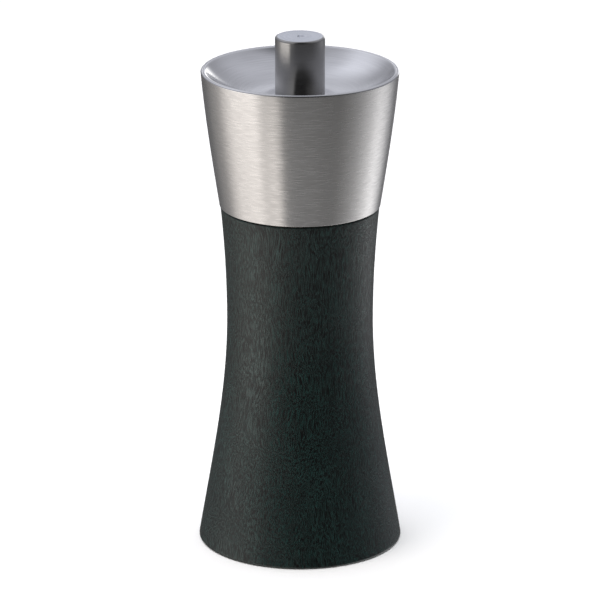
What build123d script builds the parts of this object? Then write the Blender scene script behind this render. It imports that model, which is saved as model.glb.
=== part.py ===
from build123d import *

import os
from math import cos, radians, sqrt, tan

# A hand-turned pepper mill: a waisted wooden body with a ceramic grinder in its foot, a sheet-steel
# head that turns on the body, a square spindle that carries the rotor, and a knob on the spindle's
# threaded end that sets how fine the mill grinds and holds the head on.
#
# Millimetres, +Z up. The origin is the middle of the base, on the surface that the mill stands on.
# Radii are from the common axis, which is Z.

# ---------------------------------------------------------------- driving dimensions

# Outer form
BODY_HEIGHT = 120.5          # wooden body, base to joint
HEAD_HEIGHT = 47.7           # joint to rim
KNOB_PROUD = 11.8            # knob's top above the rim
BASE_RADIUS = 35.4
WAIST_RADIUS = 25.2
WAIST_HEIGHT = 80.5
NECK_RADIUS = 27.3           # wooden body at the joint
BASE_SLOPE = -0.165          # change of radius per millimetre of height, at the foot
NECK_SLOPE = 0.10
BASE_EDGE = 1.0              # rounding of the foot
NECK_EDGE = 0.6
RIM_RADIUS = 33.8
HEAD_FOOT_SLOPE = 0.155
RIM_SLOPE = 0.085
HEAD_OVERHANG = 0.3          # steel proud of the wood at the joint

# Body bores and the neck bearing
CHAMBER_RADIUS = 18.5        # peppercorn chamber
RECESS_DEPTH = 5.0           # from the base up to the grinder's flange
RECESS_CLEARANCE = 0.3
NECK_BEARING_DEPTH = 14.0
NECK_BEARING_WALL = 1.6
NECK_FLANGE_THICKNESS = 1.2
NECK_FLANGE_CLEARANCE = 0.1
HEAD_GAP = 0.3               # wood to steel at the joint, kept open by the bearing's flange

# Steel head
SHELL_WALL = 0.8
SHELL_EDGE = 0.35
DISH_WALL = 0.7
DISH_DEPTH = 9.0
DISH_SEAT_RADIUS = 10.0      # flat middle that the knob stands on
DISH_LIP = 2.4               # dish's upright edge, welded into the shell
DISH_SEAM = 0.03
DISH_EDGE = 0.25

# Head core and its drive plate
CORE_GLUE_GAP = 0.1
PLUG_LENGTH = 12.0
PLUG_CLEARANCE = 0.2
PLATE_THICKNESS = 1.5
PLATE_MARGIN = 2.3           # plate's edge inside the plug's
CORE_BORE_CLEARANCE = 0.55
O_RING_SECTION = 0.9         # radius
O_RING_DROP = 5.0            # below the joint
O_RING_CLEARANCE = 0.1
FERRULE_CLEARANCE = 0.25
FERRULE_WALL = 1.25
FERRULE_FLANGE_WIDTH = 2.0
FERRULE_FLANGE_THICKNESS = 1.0

# Spindle
SPINDLE_SIDE = 6.0
SPINDLE_CHAMFER = 0.35
SLIDE_CLEARANCE = 0.08       # each side, square rod in a square hole
JOURNAL_STEP = 0.5
GROOVE_DEPTH = 0.5
JOURNAL_END = 0.8            # journal below its clip
THREAD_PITCH = 1.0
THREAD_LENGTH = 20.0
THREAD_DEPTH = 0.6           # shares of the pitch: depth, and half widths at root and crest
THREAD_ROOT = 0.42
THREAD_CREST = 0.06
RISE_TURNS = 300 / 360       # knob's turns from rest to the finest setting
DROP_TURNS = 540 / 360       # knob's turns from rest to the coarsest setting
END_CLEARANCE = 0.5

# Knob
KNOB_RADIUS = 8.5
KNOB_EDGE = 0.8
KNOB_FOOT_EDGE = 0.3
KNOB_SLOT = 0.3              # knob's underside above the dish, on its washer
KNOB_WASHER_THICKNESS = 0.9
KNOB_WASHER_MARGIN = 1.0
INSERT_WALL = 1.5
INSERT_LENGTH = 11.0
INSERT_DROP = 1.0            # insert's foot above the washer
THREAD_CLEARANCE = 0.15
DIMPLE_COUNT = 3
DIMPLE_RADIUS = 0.9
DIMPLE_DEPTH = 0.22
DIMPLE_CIRCLE = 0.85

# Grinder housing
BARREL_LEDGE = 1.5           # barrel's radius over the chamber's
BARREL_WALL = 2.5            # around the stator
BARREL_CLEARANCE = 0.2
FLANGE_WIDTH = 5.7
FLANGE_THICKNESS = 2.0
STATOR_CLEARANCE = 0.05
STATOR_LEDGE = 2.0           # of the housing, over the stator
SNAP_RING_THICKNESS = 1.2
SNAP_RING_BITE = 0.8
SNAP_RING_WIDTH = 3.3
SNAP_RING_GAP = 7.0
SNAP_RING_LIFT = 1.0         # above the flange's face
BRIDGE_HEIGHT = 5.0
BRIDGE_WIDTH = 6.0
BRIDGE_ROOF = 2.2            # chamfer that sheds peppercorns
HUB_WALL = 3.0
HOPPER_LIP = 1.0             # barrel above the bridge
HOPPER_CHAMFER = 2.0

# Burrs
STATOR_HEIGHT = 12.0
STATOR_WALL = 3.2            # at the mouth
STATOR_KEYS = 3              # ribs of the housing that stop the stator from turning
KEY_WIDTH = 2.4
KEY_DEPTH = 0.9
KEY_CLEARANCE = 0.1
BURR_GAP = 0.4
BURR_SLOPE = 0.35            # radius lost per millimetre of height in the fine zone
FINE_HEIGHT = 4.0
THROAT_SLOPE = 0.19          # stator's radius gained per millimetre above the fine zone
ROTOR_HEIGHT = 13.8
ROTOR_DROP = 0.6             # rotor's foot below the stator's
ROTOR_TOP_WALL = 1.5
ROTOR_RECESS = 1.6           # in the foot, for the carrier's flange
CARRIER_WALL = 1.76
CARRIER_FLAT = 0.8           # cut off two sides of the carrier so that the rotor can't slip
CARRIER_FLANGE_WIDTH = 3.0
CARRIER_FLANGE_THICKNESS = 1.2

# Drive bush, spring, washers and clip
SPRING_WIRE = 0.45           # radius
SPRING_LENGTH = 8.5
SPRING_TURNS = 4.5
SPRING_MARGIN = 0.9          # coil's inside over the spindle's corners
SPRING_END_GAP = 0.05
WASHER_THICKNESS = 0.8
WASHER_MARGIN = 1.0
CLIP_THICKNESS = 0.7
CLIP_WALL = 1.5
CLIP_PRONG = 1.5
BUSH_WALL = 0.8
BUSH_FLANGE_MARGIN = 0.5
BUSH_FLANGE_THICKNESS = 1.2
BUSH_CLEARANCE = 0.05
BUSH_THRUST_GAP = 0.1
BUSH_PROUD = 0.6

# Screws: head radius, head height, shank radius, length
HOUSING_SCREW = (2.8, 1.7, 1.5, 12.0)
PLATE_SCREW = (2.3, 1.2, 1.25, 10.0)
SCREW_COUNT = 3
SLOT_LENGTH = 1.3            # cross slot, as shares of the head's radius and height
SLOT_WIDTH = 0.3
SLOT_DEPTH = 0.6

# Burr teeth: how many, groove depth, groove half angle and skew from the cone's own line, in degrees
ROTOR_FINE_TEETH = (30, 0.6, 42, 26)
ROTOR_FEED_TEETH = (7, 2.2, 42, 30)
STATOR_FINE_TEETH = (36, 0.6, 42, -22)
STATOR_FEED_TEETH = (10, 1.4, 42, -24)
GROOVE_OVERRUN = 1.24        # cutter's length over the groove's

# ---------------------------------------------------------------- levels, from the base up

RIM_Z = BODY_HEIGHT + HEAD_HEIGHT
TOP_Z = RIM_Z + KNOB_PROUD
HEAD_FOOT_Z = BODY_HEIGHT + HEAD_GAP

FLANGE_TOP = RECESS_DEPTH + FLANGE_THICKNESS
SNAP_RING_Z = RECESS_DEPTH + SNAP_RING_LIFT
STATOR_Z = SNAP_RING_Z + SNAP_RING_THICKNESS
STATOR_FINE_TOP = STATOR_Z + FINE_HEIGHT
STATOR_TOP = STATOR_Z + STATOR_HEIGHT
ROTOR_Z = STATOR_Z - ROTOR_DROP
ROTOR_TOP = ROTOR_Z + ROTOR_HEIGHT
STEP_Z = ROTOR_Z + ROTOR_RECESS                  # the square rod's lower shoulder
CARRIER_Z = STEP_Z - CARRIER_FLANGE_THICKNESS
CLIP_Z = CARRIER_Z - WASHER_THICKNESS - CLIP_THICKNESS
SPINDLE_Z = CLIP_Z - JOURNAL_END
SPRING_Z = ROTOR_TOP + WASHER_THICKNESS
SPRING_TOP = SPRING_Z + SPRING_LENGTH
BUSH_FLANGE_TOP = SPRING_TOP + BUSH_FLANGE_THICKNESS
BRIDGE_Z = BUSH_FLANGE_TOP + BUSH_THRUST_GAP
BRIDGE_TOP = BRIDGE_Z + BRIDGE_HEIGHT
BARREL_TOP = BRIDGE_TOP + HOPPER_LIP

NECK_BEARING_Z = BODY_HEIGHT - NECK_BEARING_DEPTH
NECK_FLANGE_Z = HEAD_FOOT_Z - NECK_FLANGE_THICKNESS
PLUG_Z = BODY_HEIGHT - PLUG_LENGTH
PLATE_Z = PLUG_Z - PLATE_THICKNESS
O_RING_Z = BODY_HEIGHT - O_RING_DROP
DISH_SEAT_Z = RIM_Z - DISH_DEPTH
CORE_TOP = DISH_SEAT_Z - DISH_WALL
FERRULE_FLANGE_Z = CORE_TOP - FERRULE_FLANGE_THICKNESS

KNOB_Z = DISH_SEAT_Z + KNOB_SLOT
KNOB_WASHER_TOP = DISH_SEAT_Z + KNOB_WASHER_THICKNESS
INSERT_Z = KNOB_WASHER_TOP + INSERT_DROP
INSERT_TOP = INSERT_Z + INSERT_LENGTH
THREAD_Z = INSERT_TOP - THREAD_LENGTH
SPINDLE_RISE = RISE_TURNS * THREAD_PITCH
FERRULE_Z = THREAD_Z + SPINDLE_RISE + END_CLEARANCE
KNOB_BORE_TOP = INSERT_TOP + SPINDLE_RISE + 2 * END_CLEARANCE

# ---------------------------------------------------------------- radii that follow others

SPINDLE_CORNER = SPINDLE_SIDE / sqrt(2)
THREAD_RADIUS = SPINDLE_SIDE / 2
JOURNAL_RADIUS = THREAD_RADIUS - JOURNAL_STEP
GROOVE_RADIUS = JOURNAL_RADIUS - GROOVE_DEPTH
DRIVE_HOLE_SIDE = SPINDLE_SIDE + 2 * SLIDE_CLEARANCE

BARREL_RADIUS = CHAMBER_RADIUS + BARREL_LEDGE
STATOR_RADIUS = BARREL_RADIUS - BARREL_WALL
STATOR_SEAT_RADIUS = STATOR_RADIUS + STATOR_CLEARANCE
SNAP_RING_RADIUS = STATOR_RADIUS + SNAP_RING_BITE
HOPPER_RADIUS = STATOR_RADIUS - STATOR_LEDGE
FLANGE_RADIUS = BARREL_RADIUS + FLANGE_WIDTH
HOUSING_SCREW_CIRCLE = (BARREL_RADIUS + FLANGE_RADIUS) / 2
MOUTH_RADIUS = STATOR_RADIUS - STATOR_WALL
STATOR_THROAT = MOUTH_RADIUS - BURR_SLOPE * FINE_HEIGHT
STATOR_TOP_RADIUS = STATOR_THROAT + THROAT_SLOPE * (STATOR_HEIGHT - FINE_HEIGHT)
ROTOR_FOOT_RADIUS = MOUTH_RADIUS + BURR_SLOPE * ROTOR_DROP - BURR_GAP
ROTOR_SHOULDER = STATOR_THROAT - BURR_GAP
CARRIER_RADIUS = SPINDLE_CORNER + CARRIER_WALL
CARRIER_FLANGE_RADIUS = CARRIER_RADIUS + CARRIER_FLANGE_WIDTH
ROTOR_TOP_RADIUS = CARRIER_RADIUS + ROTOR_TOP_WALL
BUSH_RADIUS = SPINDLE_CORNER + BUSH_WALL
HUB_BORE_RADIUS = BUSH_RADIUS + BUSH_CLEARANCE
HUB_RADIUS = BUSH_RADIUS + HUB_WALL
SPRING_RADIUS = SPINDLE_CORNER + SPRING_MARGIN + SPRING_WIRE

NECK_BEARING_RADIUS = CHAMBER_RADIUS + NECK_BEARING_WALL
NECK_FLANGE_RADIUS = (NECK_BEARING_RADIUS + NECK_RADIUS) / 2
PLUG_RADIUS = CHAMBER_RADIUS - PLUG_CLEARANCE
PLATE_RADIUS = PLUG_RADIUS - PLATE_MARGIN
PLATE_SCREW_CIRCLE = (SPINDLE_CORNER + PLATE_RADIUS) / 2
O_RING_CIRCLE = CHAMBER_RADIUS - O_RING_CLEARANCE - O_RING_SECTION
CORE_BORE_RADIUS = SPINDLE_CORNER + CORE_BORE_CLEARANCE
FERRULE_BORE_RADIUS = THREAD_RADIUS + FERRULE_CLEARANCE
FERRULE_RADIUS = FERRULE_BORE_RADIUS + FERRULE_WALL
FERRULE_FLANGE_RADIUS = FERRULE_RADIUS + FERRULE_FLANGE_WIDTH
HEAD_FOOT_RADIUS = NECK_RADIUS + HEAD_OVERHANG
DISH_RIM_RADIUS = RIM_RADIUS - SHELL_WALL - DISH_SEAM
INSERT_BORE_RADIUS = THREAD_RADIUS + THREAD_CLEARANCE
INSERT_RADIUS = THREAD_RADIUS + INSERT_WALL
KNOB_WASHER_RADIUS = KNOB_RADIUS - KNOB_WASHER_MARGIN


# ---------------------------------------------------------------- shapes used by several pieces

def disc(radius, low, high):
    """A plain cylinder about Z."""
    return Pos(0, 0, low) * Cylinder(radius, high - low, align=(Align.CENTER, Align.CENTER, Align.MIN))


def tube(inner, outer, low, high):
    """A straight tube about Z."""
    return disc(outer, low, high) - disc(inner, low, high)


def block(width, depth, low, high):
    """A box centred on Z."""
    return Pos(0, 0, low) * Box(width, depth, high - low, align=(Align.CENTER, Align.CENTER, Align.MIN))


def turned(*edges):
    """A solid of revolution about Z, from the edges of a closed outline in the XZ plane."""
    return revolve(make_face(Wire(list(edges))), Axis.Z)


def turned_outline(*points):
    """A solid of revolution about Z, from (radius, height) corners."""
    corners = [(radius, 0, height) for radius, height in points]
    return revolve(make_face(Polyline(*corners, close=True)), Axis.Z)


def run(low, high):
    """A straight outline edge between two (radius, height) points."""
    return Line((low[0], 0, low[1]), (high[0], 0, high[1]))


def flank(low, low_slope, high, high_slope):
    """A smooth side line between two (radius, height) points, leaving each at its slope."""
    (low_radius, low_z), (high_radius, high_z) = low, high
    third = (high_z - low_z) / 3
    return Bezier(
        (low_radius, 0, low_z),
        (low_radius + low_slope * third, 0, low_z + third),
        (high_radius - high_slope * third, 0, high_z - third),
        (high_radius, 0, high_z),
    )


def head_solid(inset):
    """The steel head's outer form as a solid, its side moved towards the axis by inset."""
    foot = (HEAD_FOOT_RADIUS - inset, HEAD_FOOT_Z)
    rim = (RIM_RADIUS - inset, RIM_Z)
    axis_foot = (0, HEAD_FOOT_Z)
    axis_top = (0, RIM_Z)
    side = flank(foot, HEAD_FOOT_SLOPE, rim, RIM_SLOPE)
    return turned(run(axis_foot, foot), side, run(rim, axis_top), run(axis_top, axis_foot))


def round_edges(solid):
    """A turned solid's circular edges, the lowest first."""
    return solid.edges().filter_by(GeomType.CIRCLE).sort_by(Axis.Z)


def around(count, radius=0.0):
    """Places spread evenly around Z."""
    return PolarLocations(radius, count)


def screw_outline(size):
    """A countersunk wood screw without its cross slot, its face at Z 0 and its point upwards."""
    head_radius, head_height, shank_radius, length = size
    point_z = length - 2 * shank_radius
    shank = [(shank_radius, head_height), (shank_radius, point_z)]
    return turned_outline((0, 0), (head_radius, 0), *shank, (0, length))


def screws(size, circle, height):
    """The countersunk cross-head screws of one flange, driven upwards."""
    head_radius, head_height = size[:2]
    slot = Box(SLOT_LENGTH * head_radius, SLOT_WIDTH * head_radius, 2 * SLOT_DEPTH * head_height)
    screw = screw_outline(size) - slot - Rot(0, 0, 90) * slot
    return Compound(children=[Pos(0, 0, height) * place * screw for place in around(SCREW_COUNT, circle)])


def screw_holes(size, circle, height):
    """What the screws of one flange take out of the pieces that they join."""
    return [Pos(0, 0, height) * place * screw_outline(size) for place in around(SCREW_COUNT, circle)]


def cone_grooves(low, high, teeth, into_axis):
    """V-grooves cut along a cone between two (radius, height) points.

    into_axis is True for grooves in the outside of a cone and False for grooves in the inside of a ring."""
    count, depth, half_angle, skew = teeth
    (low_radius, low_z), (high_radius, high_z) = low, high
    line = Vector(high_radius - low_radius, 0, high_z - low_z)
    outward = Vector(line.Z, 0, -line.X).normalized()
    middle = Vector((low_radius + high_radius) / 2, 0, (low_z + high_z) / 2)
    along = line.normalized().rotate(Axis((0, 0, 0), tuple(outward)), skew)
    across = along.cross(outward)
    inward = outward * (-depth if into_axis else depth)
    half_width = across * (2 * depth * tan(radians(half_angle)))
    mouth = middle - inward
    profile = Polyline(middle + inward, mouth + half_width, mouth - half_width, close=True)
    half_length = GROOVE_OVERRUN * line.length / 2 / cos(radians(skew))
    cutter = extrude(make_face(profile), amount=half_length, dir=tuple(along), both=True)
    return [place * cutter for place in around(count)]


def stator_keys(clearance):
    """The upright ribs in the housing's seat, or with a clearance, the slots for them in the stator."""
    depth = KEY_DEPTH + clearance
    key = block(2 * depth, KEY_WIDTH + 2 * clearance, STATOR_Z, STATOR_TOP)
    return [place * key for place in around(STATOR_KEYS, STATOR_SEAT_RADIUS)]


# ---------------------------------------------------------------- body: what stands still

def make_wood_body():
    """The turned body with its chamber, grinder bore, foot recess and bearing seat."""
    foot = (BASE_RADIUS, 0)
    waist = (WAIST_RADIUS, WAIST_HEIGHT)
    neck = (NECK_RADIUS, BODY_HEIGHT)
    form = turned(
        run((0, 0), foot),
        flank(foot, BASE_SLOPE, waist, 0),
        flank(waist, 0, neck, NECK_SLOPE),
        run(neck, (0, BODY_HEIGHT)),
        run((0, BODY_HEIGHT), (0, 0)),
    )
    form = fillet(round_edges(form)[0], BASE_EDGE)
    form = fillet(round_edges(form)[-1], NECK_EDGE)
    recess = disc(FLANGE_RADIUS + RECESS_CLEARANCE, 0, FLANGE_TOP)
    barrel = disc(BARREL_RADIUS + BARREL_CLEARANCE, 0, BARREL_TOP + BARREL_CLEARANCE)
    chamber = disc(CHAMBER_RADIUS, 0, BODY_HEIGHT)
    bearing = disc(NECK_BEARING_RADIUS, NECK_BEARING_Z, BODY_HEIGHT)
    bearing_flange = disc(NECK_FLANGE_RADIUS + NECK_FLANGE_CLEARANCE, NECK_FLANGE_Z, BODY_HEIGHT)
    pilots = screw_holes(HOUSING_SCREW, HOUSING_SCREW_CIRCLE, RECESS_DEPTH)
    return form - [recess, barrel, chamber, bearing, bearing_flange, *pilots]


def make_neck_bearing():
    """A flanged nylon sleeve that the head turns in and rests on."""
    sleeve = disc(NECK_BEARING_RADIUS, NECK_BEARING_Z, HEAD_FOOT_Z)
    flange = disc(NECK_FLANGE_RADIUS, NECK_FLANGE_Z, HEAD_FOOT_Z)
    return sleeve + flange - disc(CHAMBER_RADIUS, NECK_BEARING_Z, HEAD_FOOT_Z)


def make_grinder_housing():
    """The nylon cup screwed into the foot: flange, barrel, and the bridge that carries the bush."""
    flange = disc(FLANGE_RADIUS, RECESS_DEPTH, FLANGE_TOP)
    barrel = disc(BARREL_RADIUS, RECESS_DEPTH, BARREL_TOP)
    seat = disc(STATOR_SEAT_RADIUS, RECESS_DEPTH, STATOR_TOP)
    groove = disc(SNAP_RING_RADIUS, SNAP_RING_Z, STATOR_Z)
    hopper = disc(HOPPER_RADIUS, STATOR_TOP, BARREL_TOP)
    cup = flange + barrel - [seat, groove, hopper]
    mouth = cup.faces().sort_by(Axis.Z)[-1].edges().sort_by(SortBy.RADIUS)[0]
    cup = chamfer(mouth, HOPPER_CHAMFER)
    bar = block(BRIDGE_WIDTH, 2 * (HOPPER_RADIUS + STATOR_LEDGE), BRIDGE_Z, BRIDGE_TOP)
    ridges = bar.edges().filter_by(Axis.Y).sort_by(Axis.Z)[-2:]
    bar = chamfer(ridges, BRIDGE_ROOF)
    hub = disc(HUB_RADIUS, BRIDGE_Z, BRIDGE_TOP)
    hub_bore = disc(HUB_BORE_RADIUS, BRIDGE_Z, BRIDGE_TOP)
    pilots = screw_holes(HOUSING_SCREW, HOUSING_SCREW_CIRCLE, RECESS_DEPTH)
    return cup + bar + hub + stator_keys(0) - [hub_bore, *pilots]


def make_stator_burr():
    """The fixed ceramic ring: feed grooves in its throat, fine grooves at its mouth."""
    mouth = (MOUTH_RADIUS, STATOR_Z)
    throat = (STATOR_THROAT, STATOR_FINE_TOP)
    top = (STATOR_TOP_RADIUS, STATOR_TOP)
    ring = turned_outline(mouth, (STATOR_RADIUS, STATOR_Z), (STATOR_RADIUS, STATOR_TOP), top, throat)
    fine = cone_grooves(mouth, throat, STATOR_FINE_TEETH, into_axis=False)
    feed = cone_grooves(throat, top, STATOR_FEED_TEETH, into_axis=False)
    return ring - [*fine, *feed, *stator_keys(KEY_CLEARANCE)]


def make_stator_snap_ring():
    """The sprung ring that holds the stator up in the housing."""
    ring = Circle(SNAP_RING_RADIUS) - Circle(SNAP_RING_RADIUS - SNAP_RING_WIDTH)
    gap = Pos(SNAP_RING_RADIUS, 0) * Rectangle(4 * SNAP_RING_WIDTH, SNAP_RING_GAP)
    return Pos(0, 0, SNAP_RING_Z) * extrude(ring - gap, SNAP_RING_THICKNESS)


def make_housing_screws():
    """The screws that hold the grinder housing in the wood."""
    return screws(HOUSING_SCREW, HOUSING_SCREW_CIRCLE, RECESS_DEPTH)


# ---------------------------------------------------------------- bush: turns, and stays at its height

def make_drive_bush():
    """The bush in the bridge's hub: the spindle slides in its square hole."""
    sleeve = disc(BUSH_RADIUS, SPRING_TOP, BRIDGE_TOP + BUSH_PROUD)
    flange = disc(HUB_RADIUS - BUSH_FLANGE_MARGIN, SPRING_TOP, BUSH_FLANGE_TOP)
    return sleeve + flange - block(DRIVE_HOLE_SIDE, DRIVE_HOLE_SIDE, SPRING_TOP, BRIDGE_TOP + BUSH_PROUD)


def make_burr_spring():
    """The spring that presses the rotor away from the stator."""
    height = SPRING_LENGTH - 2 * (SPRING_WIRE + SPRING_END_GAP)
    coil = Helix(pitch=height / SPRING_TURNS, height=height, radius=SPRING_RADIUS)
    section = Plane(origin=coil @ 0, z_dir=coil % 0) * Circle(SPRING_WIRE)
    return Pos(0, 0, SPRING_Z + SPRING_WIRE + SPRING_END_GAP) * sweep(section, path=coil, is_frenet=True)


# ---------------------------------------------------------------- spindle: turns, and moves with the knob

def make_thread_ridge():
    """The helical ridge of the spindle's thread."""
    depth = THREAD_DEPTH * THREAD_PITCH
    sunk = -depth / 4
    root = THREAD_ROOT * THREAD_PITCH
    crest = THREAD_CREST * THREAD_PITCH
    helix = Helix(pitch=THREAD_PITCH, height=THREAD_LENGTH - 2 * THREAD_PITCH, radius=THREAD_RADIUS - depth)
    profile = Polygon((sunk, -root), (depth, -crest), (depth, crest), (sunk, root), align=None)
    start = Plane(origin=helix @ 0, x_dir=(1, 0, 0), z_dir=helix % 0)
    return Pos(0, 0, THREAD_Z + THREAD_PITCH) * sweep(start * profile, path=helix, is_frenet=True)


def make_spindle():
    """The square rod with a threaded end at the top and a grooved journal at the foot."""
    rod = block(SPINDLE_SIDE, SPINDLE_SIDE, STEP_Z, THREAD_Z)
    rod = chamfer(rod.edges().filter_by(Axis.Z), SPINDLE_CHAMFER)
    core = disc(THREAD_RADIUS - THREAD_DEPTH * THREAD_PITCH, THREAD_Z, INSERT_TOP)
    journal = disc(JOURNAL_RADIUS, SPINDLE_Z, STEP_Z)
    groove = tube(GROOVE_RADIUS, JOURNAL_RADIUS, CLIP_Z, CLIP_Z + CLIP_THICKNESS)
    return rod + (core + make_thread_ridge()) + (journal - groove)


def make_rotor_carrier():
    """The steel hub that locks the rotor to the square rod."""
    hub = disc(CARRIER_RADIUS, STEP_Z, ROTOR_TOP)
    hub &= block(2 * (CARRIER_RADIUS - CARRIER_FLAT), 2 * CARRIER_RADIUS, STEP_Z, ROTOR_TOP)
    flange = disc(CARRIER_FLANGE_RADIUS, CARRIER_Z, STEP_Z)
    rod_hole = block(SPINDLE_SIDE, SPINDLE_SIDE, STEP_Z, ROTOR_TOP)
    return hub + flange - [rod_hole, disc(JOURNAL_RADIUS, CARRIER_Z, STEP_Z)]


def make_rotor_burr():
    """The turning ceramic cone: feed grooves above, fine grooves at its foot."""
    foot = (ROTOR_FOOT_RADIUS, ROTOR_Z)
    shoulder = (ROTOR_SHOULDER, STATOR_FINE_TOP)
    top = (ROTOR_TOP_RADIUS, ROTOR_TOP)
    cone = turned_outline((0, ROTOR_Z), foot, shoulder, top, (0, ROTOR_TOP))
    fine = cone_grooves(foot, shoulder, ROTOR_FINE_TEETH, into_axis=True)
    feed = cone_grooves(shoulder, top, ROTOR_FEED_TEETH, into_axis=True)
    recess = disc(CARRIER_FLANGE_RADIUS, ROTOR_Z, STEP_Z)
    bore = disc(CARRIER_RADIUS, STEP_Z, ROTOR_TOP)
    bore &= block(2 * (CARRIER_RADIUS - CARRIER_FLAT), 2 * CARRIER_RADIUS, STEP_Z, ROTOR_TOP)
    return cone - [*fine, *feed] - [recess, bore]


def make_spring_washer():
    """The washer between the rotor and the spring."""
    outer = SPRING_RADIUS + SPRING_WIRE + WASHER_MARGIN
    return tube(SPINDLE_CORNER, outer, ROTOR_TOP, SPRING_Z)


def make_rotor_washer():
    """The washer between the carrier and the clip."""
    outer = JOURNAL_RADIUS + CLIP_PRONG + 2 * WASHER_MARGIN
    return tube(JOURNAL_RADIUS, outer, CARRIER_Z - WASHER_THICKNESS, CARRIER_Z)


def make_rotor_clip():
    """The E-clip in the journal's groove."""
    outer = JOURNAL_RADIUS + CLIP_PRONG / 2 + CLIP_WALL
    ring = Circle(outer) - Circle(outer - CLIP_WALL)
    mouth = Pos(outer, 0) * Rectangle(2 * outer, 2 * GROOVE_RADIUS)
    prong = Pos(-outer / 2, 0) * Rectangle(outer - CLIP_WALL / 2, CLIP_PRONG)
    prongs = [Rot(0, 0, turn) * prong for turn in (-90, 0, 90)]
    return Pos(0, 0, CLIP_Z) * extrude(ring - mouth + prongs - Circle(GROOVE_RADIUS), CLIP_THICKNESS)


# ---------------------------------------------------------------- head: what the hand turns

def make_head_shell():
    """The brushed steel skin of the head."""
    shell = head_solid(0)
    shell = fillet(round_edges(shell)[-1], SHELL_EDGE)
    return shell - head_solid(SHELL_WALL)


def make_top_dish():
    """The polished dish in the top, with a flat seat for the knob."""
    seat = (DISH_SEAT_RADIUS, 0, DISH_SEAT_Z)
    rim_inside = (DISH_RIM_RADIUS - DISH_WALL, 0, RIM_Z)
    under_seat = (DISH_SEAT_RADIUS, 0, CORE_TOP)
    lip_foot = (DISH_RIM_RADIUS - RIM_SLOPE * DISH_LIP, 0, RIM_Z - DISH_LIP)
    level = (1, 0, 0)
    dish = turned(
        Line((0, 0, DISH_SEAT_Z), seat),
        TangentArc(seat, rim_inside, tangent=level),
        Line(rim_inside, (DISH_RIM_RADIUS, 0, RIM_Z)),
        Line((DISH_RIM_RADIUS, 0, RIM_Z), lip_foot),
        TangentArc(under_seat, lip_foot, tangent=level),
        Line(under_seat, (0, 0, CORE_TOP)),
        Line((0, 0, CORE_TOP), (0, 0, DISH_SEAT_Z)),
    )
    inner_rim = dish.edges().filter_by(GeomType.CIRCLE).group_by(Axis.Z)[-1].sort_by(SortBy.RADIUS)[0]
    return fillet(inner_rim, DISH_EDGE) - disc(FERRULE_RADIUS, CORE_TOP, DISH_SEAT_Z)


def make_head_core():
    """The wooden block in the head, with the plug that turns in the neck bearing."""
    filling = head_solid(SHELL_WALL + CORE_GLUE_GAP) - disc(RIM_RADIUS, CORE_TOP, TOP_Z)
    plug = disc(PLUG_RADIUS, PLUG_Z, HEAD_FOOT_Z)
    bore = disc(CORE_BORE_RADIUS, PLUG_Z, CORE_TOP)
    ferrule_seat = disc(FERRULE_FLANGE_RADIUS, FERRULE_FLANGE_Z, CORE_TOP)
    groove = tube(
        O_RING_CIRCLE - O_RING_SECTION, PLUG_RADIUS, O_RING_Z - O_RING_SECTION, O_RING_Z + O_RING_SECTION
    )
    pilots = screw_holes(PLATE_SCREW, PLATE_SCREW_CIRCLE, PLATE_Z)
    return filling + plug - [bore, ferrule_seat, groove, *pilots]


def make_spindle_guide():
    """The ferrule that guides the threaded end through the dish."""
    sleeve = disc(FERRULE_RADIUS, FERRULE_Z, DISH_SEAT_Z)
    flange = disc(FERRULE_FLANGE_RADIUS, FERRULE_FLANGE_Z, CORE_TOP)
    return sleeve + flange - disc(FERRULE_BORE_RADIUS, FERRULE_Z, DISH_SEAT_Z)


def make_drive_plate():
    """The plate under the plug that turns the square rod."""
    plate = disc(PLATE_RADIUS, PLATE_Z, PLUG_Z)
    drive_hole = block(DRIVE_HOLE_SIDE, DRIVE_HOLE_SIDE, PLATE_Z, PLUG_Z)
    return plate - [drive_hole, *screw_holes(PLATE_SCREW, PLATE_SCREW_CIRCLE, PLATE_Z)]


def make_drive_plate_screws():
    """The screws that hold the drive plate to the plug."""
    return screws(PLATE_SCREW, PLATE_SCREW_CIRCLE, PLATE_Z)


def make_plug_o_ring():
    """The rubber ring that takes up the play between the plug and the bearing."""
    return Pos(0, 0, O_RING_Z) * Torus(O_RING_CIRCLE, O_RING_SECTION)


# ---------------------------------------------------------------- knob

def make_adjusting_knob():
    """The steel knob: a blind bore for its insert, and a sign of peppercorns on its top."""
    knob = disc(KNOB_RADIUS, KNOB_Z, TOP_Z)
    knob = fillet(round_edges(knob)[-1], KNOB_EDGE)
    knob = fillet(round_edges(knob)[0], KNOB_FOOT_EDGE)
    washer_seat = disc(KNOB_WASHER_RADIUS, KNOB_Z, KNOB_WASHER_TOP)
    insert_bore = disc(INSERT_RADIUS, KNOB_Z, INSERT_TOP)
    end_bore = disc(INSERT_BORE_RADIUS, KNOB_Z, KNOB_BORE_TOP)
    ball = Pos(0, 0, TOP_Z + DIMPLE_RADIUS - DIMPLE_DEPTH) * Sphere(DIMPLE_RADIUS)
    dimples = [place * ball for place in around(DIMPLE_COUNT, DIMPLE_CIRCLE)]
    return knob - [washer_seat, insert_bore, end_bore, *dimples]


def make_knob_insert():
    """The brass nut pressed into the knob."""
    return tube(INSERT_BORE_RADIUS, INSERT_RADIUS, INSERT_Z, INSERT_TOP)


def make_knob_washer():
    """The nylon washer that the knob turns on."""
    return tube(INSERT_BORE_RADIUS + FERRULE_CLEARANCE, KNOB_WASHER_RADIUS, DISH_SEAT_Z, KNOB_WASHER_TOP)


# ---------------------------------------------------------------- one file for each piece

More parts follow.
